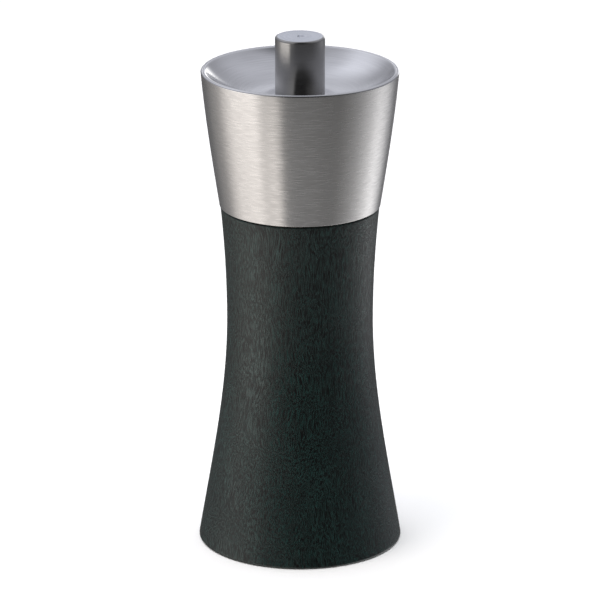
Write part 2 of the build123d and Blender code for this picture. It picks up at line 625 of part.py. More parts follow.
PIECES = (
    make_wood_body,
    make_neck_bearing,
    make_grinder_housing,
    make_stator_burr,
    make_stator_snap_ring,
    make_housing_screws,
    make_drive_bush,
    make_burr_spring,
    make_spindle,
    make_rotor_carrier,
    make_rotor_burr,
    make_spring_washer,
    make_rotor_washer,
    make_rotor_clip,
    make_head_shell,
    make_top_dish,
    make_head_core,
    make_spindle_guide,
    make_drive_plate,
    make_drive_plate_screws,
    make_plug_o_ring,
    make_adjusting_knob,
    make_knob_insert,
    make_knob_washer,
)


def main():
    os.makedirs("parts", exist_ok=True)
    for make in PIECES:
        name = make.__name__.removeprefix("make_")
        export_step(make(), f"parts/{name}.step")


main()
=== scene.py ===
"""A hand-turned pepper mill: black-stained beech, brushed stainless steel, and the works inside.

Metres, +Z up. Everything round shares one axis, Z, and a side outline is a list of (radius, height) stations.
"""

import logging
import math
from abc import ABC, abstractmethod
from collections.abc import Iterable, Mapping
from dataclasses import dataclass, field
from enum import Enum

import bmesh
import bpy
from mathutils import Matrix, Vector
from mathutils.geometry import interpolate_bezier


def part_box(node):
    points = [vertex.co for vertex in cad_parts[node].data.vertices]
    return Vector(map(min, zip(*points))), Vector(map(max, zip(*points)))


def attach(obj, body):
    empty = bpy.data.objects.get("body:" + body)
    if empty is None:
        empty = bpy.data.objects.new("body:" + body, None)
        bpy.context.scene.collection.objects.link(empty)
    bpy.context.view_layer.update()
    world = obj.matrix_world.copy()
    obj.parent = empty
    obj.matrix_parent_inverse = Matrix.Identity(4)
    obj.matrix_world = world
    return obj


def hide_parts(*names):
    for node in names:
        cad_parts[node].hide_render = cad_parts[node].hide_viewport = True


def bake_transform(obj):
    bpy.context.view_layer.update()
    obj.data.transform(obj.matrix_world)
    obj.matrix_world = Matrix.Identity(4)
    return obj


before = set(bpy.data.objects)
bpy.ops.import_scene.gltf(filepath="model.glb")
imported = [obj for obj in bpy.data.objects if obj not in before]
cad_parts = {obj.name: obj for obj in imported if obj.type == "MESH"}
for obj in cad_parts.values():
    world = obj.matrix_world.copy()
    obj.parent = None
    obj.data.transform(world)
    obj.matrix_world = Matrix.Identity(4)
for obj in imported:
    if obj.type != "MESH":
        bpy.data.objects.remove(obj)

log = logging.getLogger("pepper_mill")
MM = 0.001
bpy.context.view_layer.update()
WARM = "#fffaf5"
WHITE = "#ffffff"
COOL = "#eff1fa"
# In metres: how far apart two vertices may be and still be one, how far one may lie below a level face and
# still be on it, and how far one may stray from its station.
MERGE_REACH = 1e-7
LEVEL_REACH = 1e-6
STATION_REACH = 2e-6
# How many stretches go round a piece: large and plainly seen, of middling size, or small.
FINE_TURN = 256
PLAIN_TURN = 192
SMALL_TURN = 144
EDGE_SEGMENTS = 5


class Body(str, Enum):
    """The mill's rigid groups, as the joints move them."""

    STAND = "body"
    BUSH = "bush"
    SPINDLE = "spindle"
    HEAD = "head"
    KNOB = "knob"


class Lay(Enum):
    """How a metal surface's fine lines lie."""

    AROUND = "around the axis"
    ALONG = "along the axis"
    NONE = "no lines"


# ---------------------------------------------------------------- shader helpers


def linear(hex_colour: str) -> tuple[float, float, float, float]:
    """Turns an sRGB hex colour to linear.

    Args:
        hex_colour: Six hex digits, with or without a hash sign.

    Returns:
        Red, green, blue and an alpha of 1.
    """
    digits = hex_colour.lstrip("#")
    shares = [int(digits[i : i + 2], 16) / 255 for i in (0, 2, 4)]
    red, green, blue = (s / 12.92 if s <= 0.04045 else ((s + 0.055) / 1.055) ** 2.4 for s in shares)
    return red, green, blue, 1.0


def add_node(
    tree: bpy.types.NodeTree, kind: str, inputs: Mapping[str | int, object] | None = None, **settings: object
) -> bpy.types.Node:
    """Adds a node with its settings and links.

    Args:
        tree: The node tree that the node goes into.
        kind: The node's type name.
        inputs: Socket name or number to a value, or to the output socket that feeds it.
        settings: The node's own properties.

    Returns:
        The new node.
    """
    node = tree.nodes.new(kind)
    for name, value in settings.items():
        setattr(node, name, value)
    for key, value in (inputs or {}).items():
        if isinstance(value, bpy.types.NodeSocket):
            tree.links.new(value, node.inputs[key])
        else:
            node.inputs[key].default_value = value
    return node


def set_ramp(node: bpy.types.Node, stops: Iterable[tuple[float, tuple[float, float, float, float]]]) -> None:
    """Gives a colour ramp its stops.

    Args:
        node: A ColorRamp node.
        stops: Position and linear colour of each stop, in rising order.
    """
    elements = node.color_ramp.elements
    stops = list(stops)
    while len(elements) < len(stops):
        elements.new(1.0)
    for element, (position, colour) in zip(elements, stops):
        element.position = position
        element.color = colour


# ---------------------------------------------------------------- finishes


@dataclass(frozen=True)
class Finish(ABC):
    """A surface finish, named for its material and how it was made."""

    name: str

    def material(self) -> bpy.types.Material:
        """Makes the finish's material, or gives it back if a piece already has it.

        Returns:
            The material, with its node tree in place.
        """
        ready = bpy.data.materials.get(self.name)
        if ready is not None:
            return ready
        made = bpy.data.materials.new(self.name)
        made.use_nodes = True
        tree = made.node_tree
        tree.nodes.clear()
        shader = add_node(tree, "ShaderNodeBsdfPrincipled")
        add_node(tree, "ShaderNodeOutputMaterial", {"Surface": shader.outputs["BSDF"]})
        place = add_node(tree, "ShaderNodeTexCoord").outputs["Object"]
        self.paint(tree, shader, place)
        return made

    @abstractmethod
    def paint(self, tree: bpy.types.NodeTree, shader: bpy.types.Node, place: bpy.types.NodeSocket) -> None:
        """Sets the shader up.

        Args:
            tree: The material's node tree.
            shader: The Principled BSDF node.
            place: Object coordinates, in metres.
        """


def around_axis(
    tree: bpy.types.NodeTree, place: bpy.types.NodeSocket, streaks: float, step: float, rings: float = 0.0
) -> bpy.types.NodeSocket:
    """Coordinates for lines that run round Z: slow around it, quick along it.

    Args:
        tree: The material's node tree.
        place: Object coordinates.
        streaks: How many streak lengths go once round.
        step: Distance between lines along Z, in metres.
        rings: Distance between lines along the radius, in metres, or 0 for none.

    Returns:
        A vector socket, one unit for each feature.
    """
    flat = add_node(tree, "ShaderNodeVectorMath", {0: place, 1: (1.0, 1.0, 0.0)}, operation="MULTIPLY")
    turn = add_node(tree, "ShaderNodeVectorMath", {0: flat.outputs["Vector"]}, operation="NORMALIZE")
    wide = streaks / (2 * math.pi)
    slow = add_node(
        tree, "ShaderNodeVectorMath", {0: turn.outputs["Vector"], 1: (wide, wide, 0.0)}, operation="MULTIPLY"
    )
    split = add_node(tree, "ShaderNodeSeparateXYZ", {"Vector": place})
    quick = add_node(tree, "ShaderNodeMath", {0: split.outputs["Z"], 1: 1.0 / step}, operation="MULTIPLY")
    if rings:
        radius = add_node(tree, "ShaderNodeVectorMath", {0: flat.outputs["Vector"]}, operation="LENGTH")
        out = add_node(
            tree, "ShaderNodeMath", {0: radius.outputs["Value"], 1: 1.0 / rings}, operation="MULTIPLY"
        )
        quick = add_node(tree, "ShaderNodeMath", {0: quick.outputs[0], 1: out.outputs[0]}, operation="ADD")
    lift = add_node(tree, "ShaderNodeCombineXYZ", {"Z": quick.outputs[0]})
    both = add_node(
        tree, "ShaderNodeVectorMath", {0: slow.outputs["Vector"], 1: lift.outputs["Vector"]}, operation="ADD"
    )
    return both.outputs["Vector"]


@dataclass(frozen=True)
class LinedMetal(Finish):
    """Bare metal with fine lines from brushing, turning or drawing.

    The lines spread each reflection across them, so a lamp shows as a band. Each line leans a little along
    itself, so the band's edge is ragged.
    """

    bright: str
    dull: str
    roughness: float
    lay: Lay = Lay.AROUND
    anisotropy: float = 0.0
    line_step: float = 0.3 * MM
    streak_length: float = 5.0 * MM
    typical_radius: float = 30.0 * MM
    scratch_depth: float = 0.0015 * MM
    sway: float = 0.0
    roughness_swing: float = 0.05
    on_flat: bool = False
    noise_span: tuple[float, float] = (0.3, 0.7)
    scratch_strength: float = 0.6
    quarter_turn: float = 0.25

    def paint(self, tree: bpy.types.NodeTree, shader: bpy.types.Node, place: bpy.types.NodeSocket) -> None:
        """Sets the shader up. See Finish.paint for the arguments."""
        shader.inputs["Metallic"].default_value = 1.0
        lines = add_node(
            tree, "ShaderNodeTexNoise", {"Vector": self.lines(tree, place), "Scale": 1.0, "Detail": 2.0}
        )
        tone = add_node(tree, "ShaderNodeValToRGB", {"Fac": lines.outputs[0]})
        faint, full = self.noise_span
        set_ramp(tone, [(faint, linear(self.dull)), (full, linear(self.bright))])
        tree.links.new(tone.outputs["Color"], shader.inputs["Base Color"])
        rough = add_node(
            tree,
            "ShaderNodeMapRange",
            {
                "Value": lines.outputs[0],
                "From Min": faint,
                "From Max": full,
                "To Min": self.roughness + self.roughness_swing,
                "To Max": self.roughness - self.roughness_swing,
            },
        )
        tree.links.new(rough.outputs["Result"], shader.inputs["Roughness"])
        bump = add_node(
            tree,
            "ShaderNodeBump",
            {"Strength": self.scratch_strength, "Distance": self.scratch_depth, "Height": lines.outputs[0]},
        )
        normal = bump.outputs["Normal"]
        if self.lay is Lay.AROUND:
            normal = self.brush(tree, shader, place, lines, normal)
        tree.links.new(normal, shader.inputs["Normal"])

    def lines(self, tree: bpy.types.NodeTree, place: bpy.types.NodeSocket) -> bpy.types.NodeSocket:
        """Coordinates with one unit for each line's width and length.

        Args:
            tree: The material's node tree.
            place: Object coordinates.

        Returns:
            A vector socket.
        """
        if self.lay is Lay.AROUND:
            streaks = 2 * math.pi * self.typical_radius / self.streak_length
            return around_axis(tree, place, streaks, self.line_step, self.line_step if self.on_flat else 0.0)
        length = self.streak_length if self.lay is Lay.ALONG else self.line_step
        stretch = (1 / self.line_step, 1 / self.line_step, 1 / length)
        return add_node(tree, "ShaderNodeVectorMath", {0: place, 1: stretch}, operation="MULTIPLY").outputs[0]

    def brush(
        self,
        tree: bpy.types.NodeTree,
        shader: bpy.types.Node,
        place: bpy.types.NodeSocket,
        lines: bpy.types.Node,
        normal: bpy.types.NodeSocket,
    ) -> bpy.types.NodeSocket:
        """Spreads reflections across the lines and leans each line along itself.

        Args:
            tree: The material's node tree.
            shader: The Principled BSDF node.
            place: Object coordinates.
            lines: The noise that draws the lines.
            normal: The normal so far.

        Returns:
            The leaning normal.
        """
        across = add_node(
            tree, "ShaderNodeVectorMath", {0: (0.0, 0.0, 1.0), 1: place}, operation="CROSS_PRODUCT"
        )
        along = add_node(tree, "ShaderNodeVectorMath", {0: across.outputs[0]}, operation="NORMALIZE")
        tree.links.new(along.outputs[0], shader.inputs["Tangent"])
        shader.inputs["Anisotropic"].default_value = self.anisotropy
        shader.inputs["Anisotropic Rotation"].default_value = self.quarter_turn
        apart = add_node(tree, "ShaderNodeSeparateColor", {"Color": lines.outputs["Color"]})
        lean = add_node(
            tree,
            "ShaderNodeMath",
            {0: apart.outputs["Green"], 1: 2 * self.sway, 2: -self.sway},
            operation="MULTIPLY_ADD",
        )
        push = add_node(
            tree, "ShaderNodeVectorMath", {0: along.outputs[0], "Scale": lean.outputs[0]}, operation="SCALE"
        )
        leaning = add_node(tree, "ShaderNodeVectorMath", {0: push.outputs[0], 1: normal}, operation="ADD")
        return leaning.outputs[0]


@dataclass(frozen=True)
class Beech(Finish):
    """Turned beech, its fibres upright: short pores that wander, over slow bands of early and late wood.

    Real pores are about 0.1 mm wide. These are drawn about twice as wide, so that they show; their dark
    colour is partly stain, partly painted shade.
    """

    light: str
    dark: str
    pore_stain_and_shade: str
    roughness: float
    pore_width: float = 0.20 * MM
    pore_length: float = 4.0 * MM
    band_width: float = 5.0 * MM
    wander: float = 9.0 * MM
    wander_span: float = 24.0 * MM
    pore_depth: float = 0.03 * MM
    pore_span: tuple[float, float] = (0.45, 0.57)
    pore_roughening: float = 0.22
    pore_strength: float = 0.8
    band_span: tuple[float, float] = (0.35, 0.65)

    def paint(self, tree: bpy.types.NodeTree, shader: bpy.types.Node, place: bpy.types.NodeSocket) -> None:
        """Sets the shader up. See Finish.paint for the arguments."""
        drift = add_node(
            tree, "ShaderNodeTexNoise", {"Vector": place, "Scale": 1 / self.wander_span, "Detail": 1.0}
        )
        bent = add_node(
            tree,
            "ShaderNodeVectorMath",
            {0: drift.outputs["Color"], 1: (self.wander, self.wander, 0.0), 2: place},
            operation="MULTIPLY_ADD",
        )
        stretch = (1 / self.pore_width, 1 / self.pore_width, 1 / self.pore_length)
        fibre = add_node(tree, "ShaderNodeVectorMath", {0: bent.outputs[0], 1: stretch}, operation="MULTIPLY")
        pores = add_node(
            tree,
            "ShaderNodeTexNoise",
            {"Vector": fibre.outputs[0], "Scale": 1.0, "Detail": 1.0, "Roughness": 0.5},
        )
        bands = add_node(
            tree,
            "ShaderNodeTexNoise",
            {"Vector": fibre.outputs[0], "Scale": self.pore_width / self.band_width, "Detail": 2.0},
        )
        ground = add_node(tree, "ShaderNodeValToRGB", {"Fac": bands.outputs[0]})
        early, late = self.band_span
        set_ramp(ground, [(early, linear(self.dark)), (late, linear(self.light))])
        hollow, sound = self.pore_span
        solid = add_node(
            tree, "ShaderNodeMapRange", {"Value": pores.outputs[0], "From Min": hollow, "From Max": sound}
        )
        # In the pores the colour goes to the pore colour: partly stain held in them, partly painted shade
        # that stands in for their depth.
        colour = add_node(
            tree,
            "ShaderNodeMix",
            {"Factor": solid.outputs["Result"], 6: linear(self.pore_stain_and_shade), 7: ground.outputs["Color"]},
            data_type="RGBA",
        )
        tree.links.new(colour.outputs[2], shader.inputs["Base Color"])
        rough = add_node(
            tree,
            "ShaderNodeMapRange",
            {
                "Value": solid.outputs["Result"],
                "To Min": self.roughness + self.pore_roughening,
                "To Max": self.roughness,
            },
        )
        tree.links.new(rough.outputs["Result"], shader.inputs["Roughness"])
        bump = add_node(
            tree,
            "ShaderNodeBump",
            {"Strength": self.pore_strength, "Distance": self.pore_depth, "Height": solid.outputs["Result"]},
        )
        tree.links.new(bump.outputs["Normal"], shader.inputs["Normal"])


@dataclass(frozen=True)
class Moulded(Finish):
    """Moulded plastic, rubber or fired ceramic: one colour, a fine skin texture and a soft sheen."""

    colour: str
    shade: str
    roughness: float
    texture_step: float = 0.5 * MM
    texture_depth: float = 0.01 * MM
    subsurface: float = 0.0
    roughness_swing: float = 0.08
    texture_strength: float = 0.5
    cloud_share: float = 0.08
    cloud_span: tuple[float, float] = (0.35, 0.65)

    def paint(self, tree: bpy.types.NodeTree, shader: bpy.types.Node, place: bpy.types.NodeSocket) -> None:
        """Sets the shader up. See Finish.paint for the arguments."""
        skin = add_node(
            tree, "ShaderNodeTexNoise", {"Vector": place, "Scale": 1 / self.texture_step, "Detail": 2.0}
        )
        tone = add_node(
            tree, "ShaderNodeTexNoise", {"Vector": place, "Scale": self.cloud_share / self.texture_step}
        )
        colour = add_node(tree, "ShaderNodeValToRGB", {"Fac": tone.outputs[0]})
        shaded, clear = self.cloud_span
        set_ramp(colour, [(shaded, linear(self.shade)), (clear, linear(self.colour))])
        tree.links.new(colour.outputs["Color"], shader.inputs["Base Color"])
        rough = add_node(
            tree,
            "ShaderNodeMapRange",
            {
                "Value": skin.outputs[0],
                "To Min": self.roughness - self.roughness_swing,
                "To Max": self.roughness + self.roughness_swing,
            },
        )
        tree.links.new(rough.outputs["Result"], shader.inputs["Roughness"])
        bump = add_node(
            tree,
            "ShaderNodeBump",
            {"Strength": self.texture_strength, "Distance": self.texture_depth, "Height": skin.outputs[0]},
        )
        tree.links.new(bump.outputs["Normal"], shader.inputs["Normal"])
        shader.inputs["Subsurface Weight"].default_value = self.subsurface


# Black spirit stain on beech under a satin lacquer: nearly black and a little green, with pores in the gleam.
# The pores' near-black is partly stain and partly painted shade.
BLACK_STAINED_BEECH = Beech(
    "black_stained_beech_satin_lacquered",
    light="#1a3330",
    dark="#142a27",
    pore_stain_and_shade="#000202",
    roughness=0.26,
)
# Turned beech straight from the tool: pale, warm and matt, its pores a little darker, partly their own tone
# and partly painted shade.
PLAIN_BEECH = Beech(
    "plain_beech_turned",
    light="#cdae89",
    dark="#bd9a72",
    pore_stain_and_shade="#a9885f",
    roughness=0.60,
    pore_depth=0.02 * MM,
)
# Stainless steel brushed round the axis: soft upright bands of light, broken by short level scratches. Real
# scratches are finer than 0.1 mm, and these are drawn at 0.3 mm so that they show.
BRUSHED_STAINLESS = LinedMetal(
    "stainless_steel_brushed_around",
    bright="#d6d4d3",
    dull="#cac8c7",
    roughness=0.29,
    anisotropy=0.92,
    streak_length=3.5 * MM,
    scratch_depth=0.001 * MM,
    sway=0.045,
    roughness_swing=0.03,
)
# Stainless steel polished on the lathe: a soft mirror with rings too fine to see one by one.
POLISHED_STAINLESS = LinedMetal(
    "stainless_steel_lathe_polished",
    bright="#d2d2d4",
    dull="#c9c9cb",
    roughness=0.14,
    anisotropy=0.30,
    streak_length=20.0 * MM,
    scratch_depth=0.0008 * MM,
    sway=0.01,
    roughness_swing=0.02,
    on_flat=True,
)
# Stainless steel turned and faintly brushed: darker than the head, with clear upright bands of light.
DARK_STAINLESS = LinedMetal(
    "dark_stainless_steel_turned",
    bright="#a4a3a2",
    dull="#989796",
    roughness=0.24,
    anisotropy=0.90,
    streak_length=6.0 * MM,
    typical_radius=8.5 * MM,
    scratch_depth=0.0008 * MM,
    sway=0.02,
    roughness_swing=0.03,
    on_flat=True,
)
# Stainless steel faced on the lathe, with faint rings: the knob's end. Its colour is lighter and bluer than
# the sides, a painted highlight of the sky above it.
FACED_STAINLESS_PAINTED_SKY = LinedMetal(
    "stainless_steel_faced_painted_sky_highlight",
    bright="#b9bcc3",
    dull="#afb2ba",
    roughness=0.20,
    anisotropy=0.20,
    line_step=0.4 * MM,
    streak_length=8.0 * MM,
    typical_radius=5.0 * MM,
    scratch_depth=0.0008 * MM,
    roughness_swing=0.02,
    on_flat=True,
)
# Bright drawn steel rod: faint lines along it.
DRAWN_STEEL = LinedMetal(
    "steel_rod_bright_drawn",
    bright="#c4c6c8",
    dull="#a2a4a6",
    roughness=0.28,
    lay=Lay.ALONG,
    line_step=0.35 * MM,
    streak_length=9.0 * MM,
)
# Zinc-plated sheet and screws: pale, slightly blue and clouded.
ZINC_PLATE = LinedMetal(
    "steel_zinc_plated",
    bright="#c3cacf",
    dull="#99a1a8",
    roughness=0.34,
    lay=Lay.NONE,
    line_step=1.2 * MM,
    scratch_depth=0.003 * MM,
)
# Oiled spring steel: dark grey with a soft gleam.
SPRING_STEEL = LinedMetal(
    "spring_steel_oiled",
    bright="#77787b",
    dull="#56575a",
    roughness=0.30,
    lay=Lay.NONE,
    line_step=0.8 * MM,
)
# Turned brass: yellow, with fine rings from the tool.
TURNED_BRASS = LinedMetal(
    "brass_turned",
    bright="#d9b768",
    dull="#b99446",
    roughness=0.27,
    line_step=0.35 * MM,
    streak_length=12.0 * MM,
    typical_radius=4.5 * MM,
    on_flat=True,
)
# Black nylon, spark-eroded mould: matt with a fine even texture.
BLACK_NYLON = Moulded("nylon_black_moulded", colour="#1d1e20", shade="#151617", roughness=0.52)
# White acetal: waxy and smooth.
WHITE_ACETAL = Moulded(
    "acetal_white_moulded",
    colour="#e6e5de",
    shade="#dcdad1",
    roughness=0.38,
    texture_depth=0.004 * MM,
    subsurface=0.1,
)
# Fired ceramic, ground and unglazed: off-white, fine-grained and dry.
FIRED_CERAMIC = Moulded(
    "ceramic_fired_unglazed", colour="#e8e3d8", shade="#dcd5c6", roughness=0.56, texture_step=0.3 * MM
)
# Moulded nitrile rubber: black with a faint sheen.
NITRILE_RUBBER = Moulded("nitrile_rubber_moulded", colour="#141414", shade="#0e0e0e", roughness=0.60)


# ---------------------------------------------------------------- turned and coiled forms


@dataclass(frozen=True)
class Station:
    """One corner of a turned outline: its radius and height, and how much its edge is rounded."""

    radius: float
    height: float
    rounding: float = 0.0


def flank(low: Station, low_slope: float, high: Station, high_slope: float, steps: int = 24) -> list[Station]:
    """A smooth side between two stations, leaving each at its slope.

    Args:
        low: The lower station.
        low_slope: Change of radius per height there.
        high: The upper station.
        high_slope: Change of radius per height there.
        steps: How many stretches the side has.

    Returns:
        The stations from low to high, with both ends' own rounding.
    """
    third = (high.height - low.height) / 3
    line = interpolate_bezier(
        Vector((low.radius, 0, low.height)),
        Vector((low.radius + low_slope * third, 0, low.height + third)),
        Vector((high.radius - high_slope * third, 0, high.height - third)),
        Vector((high.radius, 0, high.height)),
        steps + 1,
    )
    return [low, *(Station(point.x, point.z) for point in line[1:-1]), high]


def bowl(seat: Station, edge: Station, steps: int = 24) -> list[Station]:
    """An arc that leaves a level seat and rises to an edge.

    Args:
        seat: Where the level part ends.
        edge: The arc's outer end.
        steps: How many stretches the arc has.

    Returns:
        The stations from the seat to the edge.
    """
    reach = edge.radius - seat.radius
    rise = edge.height - seat.height
    radius = (reach**2 + rise**2) / (2 * rise)
    sweep = math.asin(reach / radius)
    angles = [sweep * step / steps for step in range(1, steps)]
    curve = [
        Station(seat.radius + radius * math.sin(a), seat.height + radius * (1 - math.cos(a))) for a in angles
    ]
    return [seat, *curve, edge]


def finish_mesh(mesh: bmesh.types.BMesh, name: str) -> bpy.types.Object:
    """Makes an object from a bmesh: doubles merged, faces outwards, smooth.

    Args:
        mesh: The bmesh, which is freed.
        name: The object's name.

    Returns:
        The new object, at the origin.
    """
    bmesh.ops.remove_doubles(mesh, verts=mesh.verts, dist=MERGE_REACH)
    bmesh.ops.recalc_face_normals(mesh, faces=mesh.faces)
    for face in mesh.faces:
        face.smooth = True
    data = bpy.data.meshes.new(name)
    mesh.to_mesh(data)
    mesh.free()
    made = bpy.data.objects.new(name, data)
    bpy.context.scene.collection.objects.link(made)
    return made


def turn(name: str, outline: list[Station], closed: bool = True, steps: int = PLAIN_TURN) -> bpy.types.Object:
    """Spins an outline round Z and rounds the edges that ask for it.

    Args:
        name: The new object's name.
        outline: The stations in order. An open outline starts and ends on the axis.
        closed: Whether the last station joins the first.
        steps: How many stretches go round.

    Returns:
        The turned object, at the origin.
    """
    mesh = bmesh.new()
    corners = [mesh.verts.new((s.radius, 0, s.height)) for s in outline]
    chain = [mesh.edges.new(pair) for pair in zip(corners, corners[1:])]
    if closed:
        chain.append(mesh.edges.new((corners[-1], corners[0])))
    bmesh.ops.spin(
        mesh,
        geom=[*corners, *chain],
        cent=(0, 0, 0),
        axis=(0, 0, 1),
        angle=2 * math.pi,
        steps=steps,
        use_merge=True,
    )
    bmesh.ops.remove_doubles(mesh, verts=mesh.verts, dist=MERGE_REACH)
    bmesh.ops.recalc_face_normals(mesh, faces=mesh.faces)
    for station in (s for s in outline if s.rounding):
        hoop = [edge for edge in mesh.edges if is_hoop(edge, station)]
        bmesh.ops.bevel(
            mesh,
            geom=hoop,
            affect="EDGES",
            offset=station.rounding,
            offset_type="OFFSET",
            segments=EDGE_SEGMENTS,
            profile=0.5,
            material=-1,
        )
    made = finish_mesh(mesh, name)
    weigh = made.modifiers.new("even_shading", "WEIGHTED_NORMAL")
    weigh.keep_sharp = True
    return made


def is_hoop(edge: bmesh.types.BMEdge, station: Station) -> bool:
    """Whether an edge lies on a station's circle."""
    return all(
        abs(v.co.z - station.height) < STATION_REACH
        and abs(math.hypot(v.co.x, v.co.y) - station.radius) < STATION_REACH
        for v in edge.verts
    )


def dress(node: str, finish: Finish) -> None:
    """Gives a CAD node its finish.

    Args:
        node: The node's name.
        finish: The finish.
    """
    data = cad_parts[node].data
    data.materials.clear()
    data.materials.append(finish.material())
    log.info("%s: %s", node, finish.name)


def seat_piece(made: bpy.types.Object, body: Body, finish: Finish, node: str) -> None:
    """Gives a new piece its finish, its body and the CAD node that it stands for.

    Args:
        made: The new piece.
        body: The body that it rides on.
        finish: The finish.
        node: The CAD node that it stands for.
    """
    made.data.materials.append(finish.material())
    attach(made, body.value)
    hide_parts(node)
    log.info("%s for %s: %s", made.name, node, finish.name)


# ---------------------------------------------------------------- sub-assemblies


@dataclass
class Stand:
    """What stands still: the turned wooden body and the bearing in its mouth."""

    foot_radius: float = 35.4 * MM
    waist_radius: float = 25.2 * MM
    waist_height: float = 80.5 * MM
    neck_radius: float = 27.3 * MM
    foot_slope: float = -0.165
    neck_slope: float = 0.10
    chamber_radius: float = 18.5 * MM
    foot_rounding: float = 1.0 * MM
    neck_rounding: float = 0.6 * MM
    fine_rounding: float = 0.25 * MM
    bore_clearance: float = 0.2 * MM
    recess_clearance: float = 0.3 * MM
    collar_clearance: float = 0.1 * MM
    recess_depth: float = 2.0 * MM
    housing_wall: float = 1.5 * MM
    sleeve_wall: float = 1.6 * MM
    flange_thickness: float = 1.2 * MM

    def build(self) -> None:
        """Builds and dresses the wood and the bearing."""
        self.wood()
        self.bearing()

    def wood(self) -> None:
        """Turns the body: outside, bearing seat, chamber, grinder bore and foot recess."""
        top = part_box("wood_body")[1].z
        bearing_low, bearing_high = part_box("neck_bearing")
        housing_low, housing_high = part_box("grinder_housing")
        shelf = housing_low.z + self.recess_depth
        foot = Station(self.foot_radius, 0, self.foot_rounding)
        waist = Station(self.waist_radius, self.waist_height)
        neck = Station(self.neck_radius, top, self.neck_rounding)
        recess = housing_high.x + self.recess_clearance
        bore = self.chamber_radius + self.housing_wall + self.bore_clearance
        collar = bearing_high.x + self.collar_clearance
        sleeve = self.chamber_radius + self.sleeve_wall
        seat = bearing_high.z - self.flange_thickness
        outline = [
            Station(recess, 0, self.neck_rounding),
            *flank(foot, self.foot_slope, waist, 0.0, steps=40),
            *flank(waist, 0.0, neck, self.neck_slope)[1:],
            Station(collar, top, self.fine_rounding),
            Station(collar, seat),
            Station(sleeve, seat),
            Station(sleeve, bearing_low.z),
            Station(self.chamber_radius, bearing_low.z),
            Station(self.chamber_radius, housing_high.z + self.bore_clearance),
            Station(bore, housing_high.z + self.bore_clearance),
            Station(bore, shelf),
            Station(recess, shelf),
        ]
        made = turn("turned_body", outline, steps=FINE_TURN)
        seat_piece(made, Body.STAND, BLACK_STAINED_BEECH, "wood_body")

    def bearing(self) -> None:
        """Turns the flanged sleeve that the head runs in."""
        low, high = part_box("neck_bearing")
        shelf = high.z - self.flange_thickness
        sleeve = self.chamber_radius + self.sleeve_wall
        outline = [
            Station(self.chamber_radius, low.z, self.fine_rounding),
            Station(sleeve, low.z, self.fine_rounding),
            Station(sleeve, shelf),
            Station(high.x, shelf, self.fine_rounding),
            Station(high.x, high.z, self.fine_rounding),
            Station(self.chamber_radius, high.z, self.neck_rounding),
        ]
        seat_piece(turn("flanged_neck_bearing", outline), Body.STAND, BLACK_NYLON, "neck_bearing")


@dataclass
class Grinder:
    """The grinder in the foot: housing, burrs, drive bush, spring, and what holds them."""

    wire_radius: float = 0.45 * MM
    wire_sides: int = 16
    spring_turns: float = 4.5
    steps_each_turn: int = 48
    finishes: dict[str, Finish] = field(
        default_factory=lambda: {
            "grinder_housing": BLACK_NYLON,
            "stator_burr": FIRED_CERAMIC,
            "stator_snap_ring": SPRING_STEEL,
            "housing_screws": ZINC_PLATE,
            "drive_bush": WHITE_ACETAL,
            "rotor_carrier": DRAWN_STEEL,
            "rotor_burr": FIRED_CERAMIC,
            "spring_washer": ZINC_PLATE,
            "rotor_washer": ZINC_PLATE,
            "rotor_clip": SPRING_STEEL,
            "spindle": DRAWN_STEEL,
        }
    )

    def build(self) -> None:
        """Dresses the machined pieces and winds the spring."""
        for node, finish in self.finishes.items():
            dress(node, finish)
        self.spring()

    def spring(self) -> None:
        """Winds the burr spring: a closed turn at each end, and open turns between."""
        low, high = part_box("burr_spring")
        wire = 2 * self.wire_radius
        radius = high.x - self.wire_radius
        # The closed turns rise by a wire each, and the wire itself takes up one more.
        open_rise = high.z - low.z - 3 * wire
        mesh = bmesh.new()
        foot = Matrix.Translation((radius, 0, low.z + self.wire_radius))
        ring = bmesh.ops.create_circle(
            mesh,
            cap_ends=True,
            segments=self.wire_sides,
            radius=self.wire_radius,
            matrix=foot @ Matrix.Rotation(math.pi / 2, 4, "X"),
        )
        end = [*ring["verts"], *{e for v in ring["verts"] for e in v.link_edges}]
        end += list({f for v in ring["verts"] for f in v.link_faces})
        for turns, rise in ((1.0, wire), (self.spring_turns - 2, open_rise), (1.0, wire)):
            steps = round(self.steps_each_turn * turns)
            spun = bmesh.ops.spin(
                mesh,
                geom=end,
                cent=(0, 0, 0),
                axis=(0, 0, 1),
                dvec=(0, 0, rise / steps),
                angle=2 * math.pi * turns,
                steps=steps,
            )
            end = spun["geom_last"]
        coil = finish_mesh(mesh, "wound_burr_spring")
        coil.data.materials.append(SPRING_STEEL.material())
        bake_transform(coil)
        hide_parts("burr_spring")
        log.info("%s for burr_spring: %s", coil.name, SPRING_STEEL.name)


